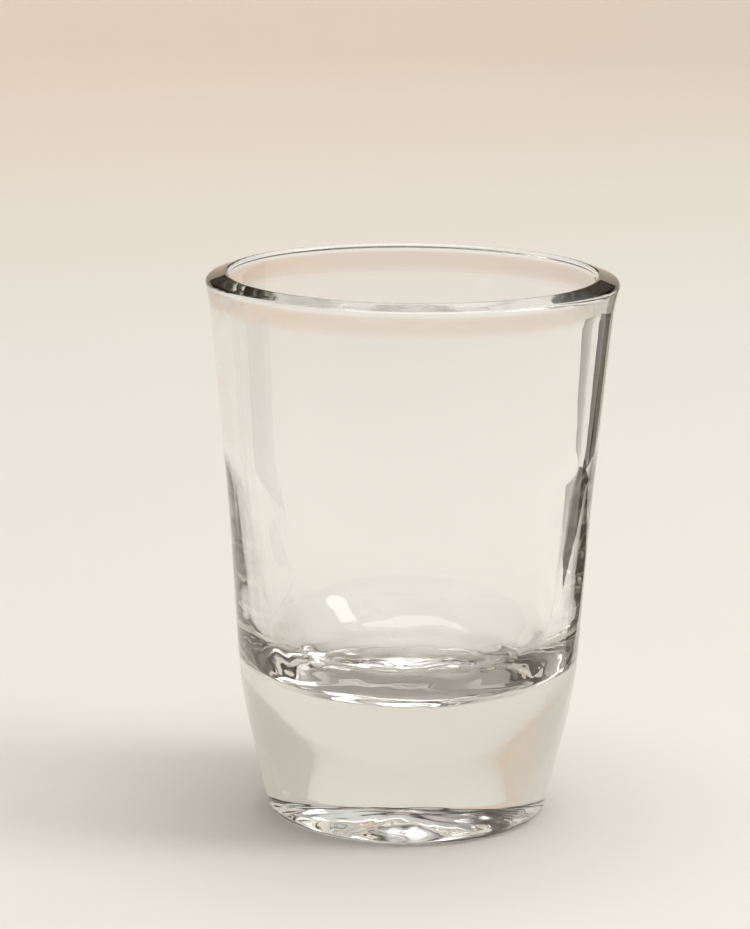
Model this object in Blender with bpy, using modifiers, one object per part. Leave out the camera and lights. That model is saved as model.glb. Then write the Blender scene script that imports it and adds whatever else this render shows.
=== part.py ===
"""A plain pressed shot glass: one turned piece of clear glass with a heavy base.

Metres, +Z up. The origin is the centre of the ring that the glass stands on.
"""

import math

import bpy
from mathutils import Vector

# The outside, from the lip down; the lip's top slopes down from the bowl to the outside
LIP_CREST = 0.06047
LIP_RADIUS = 0.0226
LIP_DROP = 0.0009
NECK_HEIGHT, NECK_RADIUS = 0.0570, 0.02205
WAIST_HEIGHT, WAIST_RADIUS = 0.0350, 0.01993
SHOULDER_HEIGHT, SHOULDER_RADIUS = 0.0142, 0.01855
HEEL_RADIUS = 0.01533

# The bowl
LIP_THICKNESS = 0.0026
BOWL_FLOOR_HEIGHT, BOWL_FLOOR_RADIUS = 0.0151, 0.01508
BOWL_NECK_HEIGHT, BOWL_NECK_RADIUS = 0.0400, 0.0186

# The foot ring and the shallow hollow inside it
RING_INNER_RADIUS = 0.0119
HOLLOW_TOP_RADIUS = 0.0065
HOLLOW_DEPTH = 0.0026

# The radius that rounds each corner of the section
LIP_INNER_ROUND = 0.00045
LIP_OUTER_ROUND = 0.0006
NECK_ROUND = 0.010
WAIST_ROUND = 0.400
SHOULDER_ROUND = 0.050
HEEL_ROUND = 0.0015
RING_ROUND = 0.0008
HOLLOW_TOP_ROUND = 0.020
BOWL_FLOOR_ROUND = 0.0085
BOWL_NECK_ROUND = 0.060

TURN_STEPS = 72
DEGREES_PER_FACET = 18.0
FEWEST_FACETS = 2
MERGE_DISTANCE = 0.00001


def corners():
    """The section's corners as (radius, height, rounding), up the bowl, over the lip and down the outside."""
    return [
        (0.0, BOWL_FLOOR_HEIGHT, 0.0),
        (BOWL_FLOOR_RADIUS, BOWL_FLOOR_HEIGHT, BOWL_FLOOR_ROUND),
        (BOWL_NECK_RADIUS, BOWL_NECK_HEIGHT, BOWL_NECK_ROUND),
        (LIP_RADIUS - LIP_THICKNESS, LIP_CREST, LIP_INNER_ROUND),
        (LIP_RADIUS, LIP_CREST - LIP_DROP, LIP_OUTER_ROUND),
        (NECK_RADIUS, NECK_HEIGHT, NECK_ROUND),
        (WAIST_RADIUS, WAIST_HEIGHT, WAIST_ROUND),
        (SHOULDER_RADIUS, SHOULDER_HEIGHT, SHOULDER_ROUND),
        (HEEL_RADIUS, 0.0, HEEL_ROUND),
        (RING_INNER_RADIUS, 0.0, RING_ROUND),
        (HOLLOW_TOP_RADIUS, HOLLOW_DEPTH, HOLLOW_TOP_ROUND),
        (0.0, HOLLOW_DEPTH, 0.0),
    ]


def rounded_corner(before, corner, after, rounding):
    """Points along the arc, of the given radius, that touches both edges of a corner."""
    back = (before - corner).normalized()
    on = (after - corner).normalized()
    turn = math.pi - back.angle(on)
    centre = corner + (back + on).normalized() * (rounding / math.cos(turn / 2))
    start = corner + back * (rounding * math.tan(turn / 2)) - centre
    sense = 1 if back.cross(on) < 0 else -1
    facets = max(FEWEST_FACETS, math.ceil(math.degrees(turn) / DEGREES_PER_FACET))
    points = []
    for i in range(facets + 1):
        angle = sense * turn * i / facets
        cos, sin = math.cos(angle), math.sin(angle)
        points.append(centre + Vector((start.x * cos - start.y * sin, start.x * sin + start.y * cos)))
    return points


def section():
    """The section's outline, with every corner between its two ends rounded."""
    rows = corners()
    spots = [Vector(row[:2]) for row in rows]
    outline = [spots[0]]
    for i in range(1, len(rows) - 1):
        outline += rounded_corner(spots[i - 1], spots[i], spots[i + 1], rows[i][2])
    outline.append(spots[-1])
    return outline


def clear_scene():
    for obj in list(bpy.data.objects):
        bpy.data.objects.remove(obj, do_unlink=True)


def clear_glass():
    material = bpy.data.materials.new("clear_glass")
    material.use_nodes = True
    shader = material.node_tree.nodes["Principled BSDF"]
    shader.inputs["Base Color"].default_value = (0.96, 0.98, 0.97, 1.0)
    shader.inputs["Metallic"].default_value = 0.0
    shader.inputs["Roughness"].default_value = 0.02
    shader.inputs["IOR"].default_value = 1.52
    shader.inputs["Transmission Weight"].default_value = 1.0
    return material


def glass_body(collection):
    """The whole glass, turned about Z from its section."""
    outline = section()
    mesh = bpy.data.meshes.new("glass_body")
    mesh.from_pydata([(p.x, 0.0, p.y) for p in outline], [(i, i + 1) for i in range(len(outline) - 1)], [])
    mesh.materials.append(clear_glass())
    body = bpy.data.objects.new("glass_body", mesh)
    collection.objects.link(body)
    turn = body.modifiers.new("turn", "SCREW")
    turn.axis = "Z"
    turn.angle = 2 * math.pi
    turn.steps = TURN_STEPS
    turn.render_steps = TURN_STEPS
    turn.use_merge_vertices = True
    turn.merge_threshold = MERGE_DISTANCE
    turn.use_smooth_shade = True


def main():
    clear_scene()
    collection = bpy.data.collections.new("shot_glass")
    bpy.context.scene.collection.children.link(collection)
    glass_body(collection)


main()
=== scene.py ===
import math

import bpy
from mathutils import Matrix, Vector, noise


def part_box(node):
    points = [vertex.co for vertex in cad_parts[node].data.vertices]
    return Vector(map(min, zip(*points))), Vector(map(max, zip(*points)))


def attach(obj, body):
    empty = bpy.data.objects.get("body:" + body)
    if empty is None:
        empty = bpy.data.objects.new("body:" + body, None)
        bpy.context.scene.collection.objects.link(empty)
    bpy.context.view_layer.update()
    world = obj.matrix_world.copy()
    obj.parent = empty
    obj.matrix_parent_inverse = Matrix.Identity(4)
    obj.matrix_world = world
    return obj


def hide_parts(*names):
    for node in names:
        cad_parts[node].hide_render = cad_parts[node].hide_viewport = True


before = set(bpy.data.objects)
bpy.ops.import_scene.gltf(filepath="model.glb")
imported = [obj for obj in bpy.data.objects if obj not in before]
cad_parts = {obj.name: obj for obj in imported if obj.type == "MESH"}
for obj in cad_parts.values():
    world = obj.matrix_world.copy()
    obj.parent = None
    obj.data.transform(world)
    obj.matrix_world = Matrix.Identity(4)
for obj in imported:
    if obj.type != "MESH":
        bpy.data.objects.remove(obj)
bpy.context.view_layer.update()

NODE = "glass_body"
LOW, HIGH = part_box(NODE)
HEIGHT = HIGH.z - LOW.z
MM = HEIGHT / 60.3

# ------------------------------------------------ the glass's section, in millimetres of the CAD
# A corner is (radius, height, rounding).
LIP_CREST, LIP_RADIUS, LIP_THICKNESS, LIP_DROP = 60.47, 22.6, 2.6, 0.9
LIP_ROUND_IN, LIP_ROUND_OUT = 0.45, 0.6
BOWL_FLOOR = (15.08, 15.1, 8.5)
BOWL_NECK = (18.6, 40.0, 60.0)
NECK = (22.05, 57.0, 10.0)
WAIST = (19.93, 35.0, 400.0)
SHOULDER = (18.55, 14.2, 50.0)
HEEL = (15.33, 0.0, 1.5)
RING_INNER = (11.9, 0.0, 0.8)
HOLLOW_EDGE = (6.5, 2.6, 20.0)
HOLLOW_DEPTH = 2.6

TURN_STEPS = 256
ARC_STEP_DEGREES = 7.0
FEWEST_ARC_FACETS = 6
ROW_SPACING = 0.5

# ------------------------------------------------ the pressed surface's unevenness, in millimetres
# A wave round the glass is (height, noise scale round the axis, noise scale up the axis).
BROAD_WAVE = (0.03, 1.6, 0.05)
UPRIGHT_STREAKS = (0.008, 9.0, 0.03)
FINE_STREAKS = (0.005, 24.0, 0.05)

# A mark is (height, noise scale, noise offset), and a ridge is (height, radius, width).
BOWL_LOW, BOWL_HIGH = 14.0, 30.0
RING_HEIGHT, RING_SPACING = 0.10, 3.4
BOWL_SWIRL = (0.13, 0.22, Vector((5, 1, 0)))
BOWL_CURL = (0.035, 0.5, Vector((8, 3, 0)))
OUTER_RIDGE = (0.09, 7.9, 0.55)
INNER_RIDGE = (0.08, 4.6, 0.5)
RINGS_FADE_FROM, RINGS_FADE_TO = 18.0, 26.0
RINGS_CENTRE = 2.0

UNDERSIDE_HIGH = 3.0
MOTTLE_RADIUS = 11.6
MOTTLE_EDGE, MOTTLE_CENTRE = 2.0, 1.5
MOTTLE = (0.60, 0.19, Vector((1, 7, 3)))
RIPPLE = (0.15, 0.6, Vector((2, 3, 9)))

# ------------------------------------------------ the view, the studio and the looks, in metres
CAMERA_PLACE = (0.0, -6.79 * HEIGHT, 2.103 * HEIGHT)
CAMERA_TURN, CAMERA_TILT, CAMERA_ROLL = 0.0095, math.pi / 2 - 0.2116, 0.0104
LENS, SENSOR_WIDTH = 147.9, 36.0

FLOOR_RADIUS, FLOOR_BEND, WALL_TOP = 0.80, 0.20, 0.26
FLOOR_DROP = 0.00005
STAGE_STEPS = 96
BEND_STEPS = 15

PALE_PAPER, PINK_PAPER = (0.77, 0.755, 0.715, 1), (0.88, 0.765, 0.66, 1)
PINK_CENTRE, PINK_SIZE = (-0.20, 1.00, 0.0), (0.62, 0.74, 1.0)
DARK_ROOM, BRIGHT_ROOM = (0.055, 0.038, 0.027, 1), (0.85, 0.83, 0.79, 1)
BRIGHT_SIDE = Vector((0.62, 0.22, 0.75)).normalized()
# Painted shade: the dark olive of the flags that are seen only through the glass.
PAINTED_SHADE_OLIVE = (0.06, 0.055, 0.04, 1)
WHITE = (1.0, 1.0, 1.0, 1.0)
MATT = {"Roughness": 0.9, "Specular IOR Level": 0.1}
GLASS_TINT = (0.738, 0.733, 0.690, 1.0)
WORN_FOOT_HEIGHT = 0.0006

BOUNCES = 32
# The Mix node's sockets when it mixes colours.
MIX_FACTOR, MIX_A, MIX_B, MIX_RESULT = 0, 6, 7, 2


# ------------------------------------------------ the glass
def section_corners():
    """The section's corners, from the bowl's centre over the lip and down to the hollow's centre."""
    return [
        (0.0, BOWL_FLOOR[1], 0.0),
        BOWL_FLOOR,
        BOWL_NECK,
        (LIP_RADIUS - LIP_THICKNESS, LIP_CREST, LIP_ROUND_IN),
        (LIP_RADIUS, LIP_CREST - LIP_DROP, LIP_ROUND_OUT),
        NECK,
        WAIST,
        SHOULDER,
        HEEL,
        RING_INNER,
        HOLLOW_EDGE,
        (0.0, HOLLOW_DEPTH, 0.0),
    ]


def rounded_corner(before, corner, after, rounding):
    """Points along the arc, of the given radius, that touches both edges of a corner."""
    back = (before - corner).normalized()
    on = (after - corner).normalized()
    turn = math.pi - back.angle(on)
    centre = corner + (back + on).normalized() * (rounding / math.cos(turn / 2))
    start = corner + back * (rounding * math.tan(turn / 2)) - centre
    sense = 1 if back.cross(on) < 0 else -1
    facets = max(FEWEST_ARC_FACETS, math.ceil(math.degrees(turn) / ARC_STEP_DEGREES))
    points = []
    for i in range(facets + 1):
        angle = sense * turn * i / facets
        cos, sin = math.cos(angle), math.sin(angle)
        points.append(centre + Vector((start.x * cos - start.y * sin, start.x * sin + start.y * cos)))
    return points


def section():
    """The section's outline in millimetres, with rounded corners and evenly spaced points between them."""
    rows = section_corners()
    spots = [Vector(row[:2]) for row in rows]
    outline = [spots[0]]
    for i in range(1, len(rows) - 1):
        outline += rounded_corner(spots[i - 1], spots[i], spots[i + 1], rows[i][2])
    outline.append(spots[-1])
    fine = [outline[0]]
    for end in outline[1:]:
        start = fine[-1]
        pieces = max(1, round((end - start).length / ROW_SPACING))
        fine += [start.lerp(end, (k + 1) / pieces) for k in range(pieces)]
    return fine


def wave(shape, around, height):
    """One wave of the wall: its height in millimetres at that angle and level."""
    size, round_scale, up_scale = shape
    return size * noise.noise(around * round_scale + Vector((0, 0, height * up_scale)))


def mark(shape, spot):
    """One cloudy mark: its height in millimetres at that spot."""
    size, scale, offset = shape
    return size * noise.noise(spot * scale + offset)


def ridge(shape, radius):
    """One round ridge on the bowl's floor: its height in millimetres at that radius."""
    size, centre, width = shape
    return size * math.exp(-((radius - centre) / width) ** 2)


def bowl_marks(point, spot):
    """The rings and swirls on the bowl's floor, which fade out up its wall and at its centre."""
    level_fade = min(1.0, max(0.0, (RINGS_FADE_TO - point.y) / (RINGS_FADE_TO - RINGS_FADE_FROM)))
    centre_fade = min(1.0, point.x / RINGS_CENTRE)
    rings = RING_HEIGHT * math.sin(2 * math.pi * point.x / RING_SPACING)
    marks = rings + mark(BOWL_SWIRL, spot) + mark(BOWL_CURL, spot)
    return level_fade * centre_fade * marks + ridge(OUTER_RIDGE, point.x) + ridge(INNER_RIDGE, point.x)


def chill_marks(point, spot):
    """The mottled marks under the base, which fade out towards the foot ring and at its centre."""
    edge_fade = min(1.0, (MOTTLE_RADIUS - point.x) / MOTTLE_EDGE)
    centre_fade = min(1.0, point.x / MOTTLE_CENTRE)
    return edge_fade * centre_fade * (mark(MOTTLE, spot) + mark(RIPPLE, spot))


def unevenness(point, normal, angle):
    """How far the pressed surface stands off its true section there, in millimetres."""
    cos, sin = math.cos(angle), math.sin(angle)
    spot = Vector((point.x * cos, point.x * sin, point.y))
    around = Vector((cos, sin, 0.0))
    out = sum(wave(shape, around, point.y) for shape in (BROAD_WAVE, UPRIGHT_STREAKS, FINE_STREAKS))
    faces_bowl = normal.x < 0.0 or normal.y > 0.9
    if faces_bowl and BOWL_LOW < point.y < BOWL_HIGH:
        out += bowl_marks(point, spot)
    faces_down = normal.y < -0.5
    if faces_down and point.y < UNDERSIDE_HIGH and point.x < MOTTLE_RADIUS:
        out += chill_marks(point, spot)
    return out


def linked_mesh(name, verts, faces, material):
    """A smooth-shaded mesh object with one material, linked into the scene."""
    mesh = bpy.data.meshes.new(name)
    mesh.from_pydata(verts, [], faces)
    mesh.shade_smooth()
    mesh.materials.append(material)
    item = bpy.data.objects.new(name, mesh)
    bpy.context.scene.collection.objects.link(item)
    return item


def turned_glass():
    """The visible glass: the section turned about Z, with every point moved a little along its normal."""
    outline = section()
    count = len(outline)
    verts = [(0.0, 0.0, outline[0].y * MM)]
    for i in range(1, count - 1):
        along = (outline[i + 1] - outline[i - 1]).normalized()
        normal = Vector((-along.y, along.x))
        for k in range(TURN_STEPS):
            angle = 2 * math.pi * k / TURN_STEPS
            out = unevenness(outline[i], normal, angle)
            r, z = outline[i].x + normal.x * out, outline[i].y + normal.y * out
            verts.append((r * math.cos(angle) * MM, r * math.sin(angle) * MM, z * MM))
    verts.append((0.0, 0.0, outline[-1].y * MM))
    faces = []
    last = len(verts) - 1
    last_ring = 1 + (count - 3) * TURN_STEPS
    for k in range(TURN_STEPS):
        n = (k + 1) % TURN_STEPS
        faces.append((0, 1 + k, 1 + n))
        for i in range(count - 3):
            a, b = 1 + i * TURN_STEPS, 1 + (i + 1) * TURN_STEPS
            faces.append((a + k, b + k, b + n, a + n))
        faces.append((last_ring + k, last, last_ring + n))
    return linked_mesh("pressed_glass", verts, faces, clear_glass())


# ------------------------------------------------ materials
def new_material(name):
    """A new node material, with its node tree and its shader."""
    material = bpy.data.materials.new(name)
    material.use_nodes = True
    return material, material.node_tree, material.node_tree.nodes["Principled BSDF"]


def set_inputs(node, values):
    """Sets a node's inputs by name."""
    for name, value in values.items():
        node.inputs[name].default_value = value


def cloud(tree, vector, scale, detail):
    """A noise texture fed by that vector."""
    texture = tree.nodes.new("ShaderNodeTexNoise")
    set_inputs(texture, {"Scale": scale, "Detail": detail})
    tree.links.new(vector, texture.inputs["Vector"])
    return texture.outputs["Fac"]


def map_range(tree, value, start, end, top):
    """Maps start..end to zero..top."""
    mapped = tree.nodes.new("ShaderNodeMapRange")
    set_inputs(mapped, {"From Min": start, "From Max": end, "To Max": top})
    tree.links.new(value, mapped.inputs["Value"])
    return mapped.outputs["Result"]


def bump(tree, height, strength, distance):
    """A bump node fed by that height."""
    node = tree.nodes.new("ShaderNodeBump")
    set_inputs(node, {"Strength": strength, "Distance": distance})
    tree.links.new(height, node.inputs["Height"])
    return node


def colour_ramp(tree, value, low, low_colour, high, high_colour):
    """A two-stop colour ramp fed by that value."""
    ramp = tree.nodes.new("ShaderNodeValToRGB")
    for stop, place, colour in zip(ramp.color_ramp.elements, (low, high), (low_colour, high_colour)):
        stop.position = place
        stop.color = colour
    tree.links.new(value, ramp.inputs["Fac"])
    return ramp.outputs["Color"]


def clear_glass():
    """Clear, faintly warm glass: fire-polished, with soft smudges, a worn foot and hair-fine scratches."""
    material, tree, shader = new_material("clear_pressed_glass")
    links = tree.links
    set_inputs(shader, {"Base Color": WHITE, "IOR": 1.52, "Transmission Weight": 1.0})
    place = tree.nodes.new("ShaderNodeTexCoord").outputs["Object"]

    smudges = map_range(tree, cloud(tree, place, scale=90.0, detail=5.0), start=0.52, end=0.80, top=0.035)
    split = tree.nodes.new("ShaderNodeSeparateXYZ")
    links.new(place, split.inputs["Vector"])
    worn_foot = map_range(tree, split.outputs["Z"], start=WORN_FOOT_HEIGHT, end=0.0, top=0.18)
    roughness = tree.nodes.new("ShaderNodeMath")
    roughness.operation = "MAXIMUM"
    links.new(smudges, roughness.inputs[0])
    links.new(worn_foot, roughness.inputs[1])
    links.new(roughness.outputs["Value"], shader.inputs["Roughness"])

    stretch = tree.nodes.new("ShaderNodeMapping")
    set_inputs(stretch, {"Rotation": (0.3, 0.5, 0.2), "Scale": (900.0, 900.0, 60.0)})
    links.new(place, stretch.inputs["Vector"])
    hairs = cloud(tree, stretch.outputs["Vector"], scale=1.0, detail=2.0)
    scratches = bump(tree, hairs, strength=0.02, distance=0.00002)
    waves = bump(tree, cloud(tree, place, scale=260.0, detail=1.0), strength=0.05, distance=0.0001)
    links.new(scratches.outputs["Normal"], waves.inputs["Normal"])
    links.new(waves.outputs["Normal"], shader.inputs["Normal"])

    volume = tree.nodes.new("ShaderNodeVolumeAbsorption")
    set_inputs(volume, {"Color": GLASS_TINT, "Density": 18.0})
    links.new(volume.outputs["Volume"], tree.nodes["Material Output"].inputs["Volume"])
    return material


def paper_material():
    """Matt paper: pale near the glass and out to both sides, a little pinker far behind it."""
    material, tree, shader = new_material("paper")
    set_inputs(shader, MATT)
    place = tree.nodes.new("ShaderNodeTexCoord").outputs["Object"]
    mapping = tree.nodes.new("ShaderNodeMapping")
    mapping.vector_type = "TEXTURE"
    set_inputs(mapping, {"Location": PINK_CENTRE, "Scale": PINK_SIZE})
    tree.links.new(place, mapping.inputs["Vector"])
    away = tree.nodes.new("ShaderNodeVectorMath")
    away.operation = "LENGTH"
    tree.links.new(mapping.outputs["Vector"], away.inputs[0])
    colour = colour_ramp(tree, away.outputs["Value"], 0.35, PINK_PAPER, 1.0, PALE_PAPER)
    tree.links.new(colour, shader.inputs["Base Color"])
    return material


def plain_material(name, colour):
    """A matt material of one colour."""
    material, _, shader = new_material(name)
    set_inputs(shader, {"Base Color": colour, **MATT})
    return material


# ------------------------------------------------ camera, stage and light
def make_camera():
    """The reference view: about 0.43 m away, from a little above, with a long lens."""
    data = bpy.data.cameras.new("camera")
    data.lens = LENS
    data.sensor_width = SENSOR_WIDTH
    data.clip_start = 0.01
    data.clip_end = 10.0
    camera = bpy.data.objects.new("camera", data)
    bpy.context.scene.collection.objects.link(camera)
    turn = Matrix.Rotation(CAMERA_TURN, 4, "Z")
    tilt = Matrix.Rotation(CAMERA_TILT, 4, "X")
    roll = Matrix.Rotation(CAMERA_ROLL, 4, "Z")
    camera.matrix_world = Matrix.Translation(CAMERA_PLACE) @ turn @ tilt @ roll
    bpy.context.scene.camera = camera


def make_stage():
    """A round floor whose edge curves up into a low wall."""
    rows = [(0.0, 0.0), (0.1, 0.0), (0.4, 0.0)]
    for i in range(BEND_STEPS + 1):
        angle = math.radians(90 * i / BEND_STEPS)
        rows.append((FLOOR_RADIUS + FLOOR_BEND * math.sin(angle), FLOOR_BEND * (1 - math.cos(angle))))
    rows.append((FLOOR_RADIUS + FLOOR_BEND, WALL_TOP))
    verts, faces = [(0.0, 0.0, 0.0)], []
    for r, z in rows[1:]:
        for k in range(STAGE_STEPS):
            angle = 2 * math.pi * k / STAGE_STEPS
            verts.append((r * math.cos(angle), r * math.sin(angle), z))
    for k in range(STAGE_STEPS):
        n = (k + 1) % STAGE_STEPS
        faces.append((0, 1 + k, 1 + n))
        for i in range(len(rows) - 2):
            a, b = 1 + i * STAGE_STEPS, 1 + (i + 1) * STAGE_STEPS
            faces.append((a + k, b + k, b + n, a + n))
    cove = linked_mesh("cove", verts, faces, paper_material())
    cove.location.z = -FLOOR_DROP


def make_painted_shade_flags():
    """Two small dark flags of painted shade, on the right and behind, that draw the dark line inside the
    right wall.

    Only rays that have been through the glass or off it see them.
    """
    rows = (
        ("painted_shade_flag_low", [(50, 34, 0.5), (61, 33, 0.5), (92, 62, 0.5), (120, 94, 0.5), (102, 116, 0.5),
                      (50, 108, 0.5)]),
        ("painted_shade_flag_right", [(56, 42, 20), (61, 125, 13), (61, 125, 47), (56, 42, 57)]),
    )
    for name, corners in rows:
        mesh = bpy.data.meshes.new(name)
        mesh.from_pydata([(x / 1000, y / 1000, z / 1000) for x, y, z in corners], [], [range(len(corners))])
        mesh.materials.append(plain_material(name, PAINTED_SHADE_OLIVE))
        shade_flag = bpy.data.objects.new(name, mesh)
        bpy.context.scene.collection.objects.link(shade_flag)
        # Painted shade: hidden from the camera, casting no shadow and lighting nothing, these sheets only
        # darken what the glass refracts and reflects.
        shade_flag.visible_camera = False
        shade_flag.visible_shadow = False
        shade_flag.visible_diffuse = False


def area_light(name, place, target, size, energy, colour):
    """An oval area light at a place, aimed at a target."""
    data = bpy.data.lights.new(name, "AREA")
    data.shape = "ELLIPSE"
    data.size, data.size_y = size
    data.energy = energy
    data.color = colour
    light = bpy.data.objects.new(name, data)
    bpy.context.scene.collection.objects.link(light)
    light.location = place
    light.rotation_euler = (Vector(target) - Vector(place)).to_track_quat("-Z", "Y").to_euler()


def make_lights():
    """A window to the right of the glass and a broad pale sky above it."""
    area_light("window", place=(0.80, -0.10, 0.80), target=(0, 0, 0.03), size=(0.45, 0.60),
               energy=4.0, colour=(1.0, 0.98, 0.94))
    area_light("sky", place=(0.0, -0.02, 1.20), target=(0, 0, 0), size=(1.1, 1.1),
               energy=8.8, colour=(1.0, 0.97, 0.93))


def make_world():
    """A room that is bright above and to the right, and dark low down and to the left."""
    world = bpy.data.worlds.new("room")
    world.use_nodes = True
    tree = world.node_tree
    place = tree.nodes.new("ShaderNodeTexCoord").outputs["Generated"]
    towards = tree.nodes.new("ShaderNodeVectorMath")
    towards.operation = "DOT_PRODUCT"
    towards.inputs[1].default_value = BRIGHT_SIDE
    tree.links.new(place, towards.inputs[0])
    by_side = colour_ramp(tree, towards.outputs["Value"], 0.40, DARK_ROOM, 0.75, BRIGHT_ROOM)
    split = tree.nodes.new("ShaderNodeSeparateXYZ")
    tree.links.new(place, split.inputs["Vector"])
    by_height = colour_ramp(tree, split.outputs["Z"], 0.40, DARK_ROOM, 0.66, WHITE)
    darker = tree.nodes.new("ShaderNodeMix")
    darker.data_type = "RGBA"
    darker.blend_type = "DARKEN"
    darker.inputs[MIX_FACTOR].default_value = 1.0
    tree.links.new(by_side, darker.inputs[MIX_A])
    tree.links.new(by_height, darker.inputs[MIX_B])
    tree.links.new(darker.outputs[MIX_RESULT], tree.nodes["Background"].inputs["Color"])
    bpy.context.scene.world = world


def set_view():
    """The view transform, and enough bounces for light to get through the glass."""
    bpy.context.scene.view_settings.view_transform = "Standard"
    cycles = bpy.context.scene.cycles
    cycles.max_bounces = BOUNCES
    cycles.glossy_bounces = BOUNCES
    cycles.transmission_bounces = BOUNCES


def main():
    """Builds the glass around its CAD node, then everything around the glass."""
    glass = turned_glass()
    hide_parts(NODE)
    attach(glass, "root")
    make_camera()
    make_stage()
    make_painted_shade_flags()
    make_lights()
    make_world()
    set_view()


main()
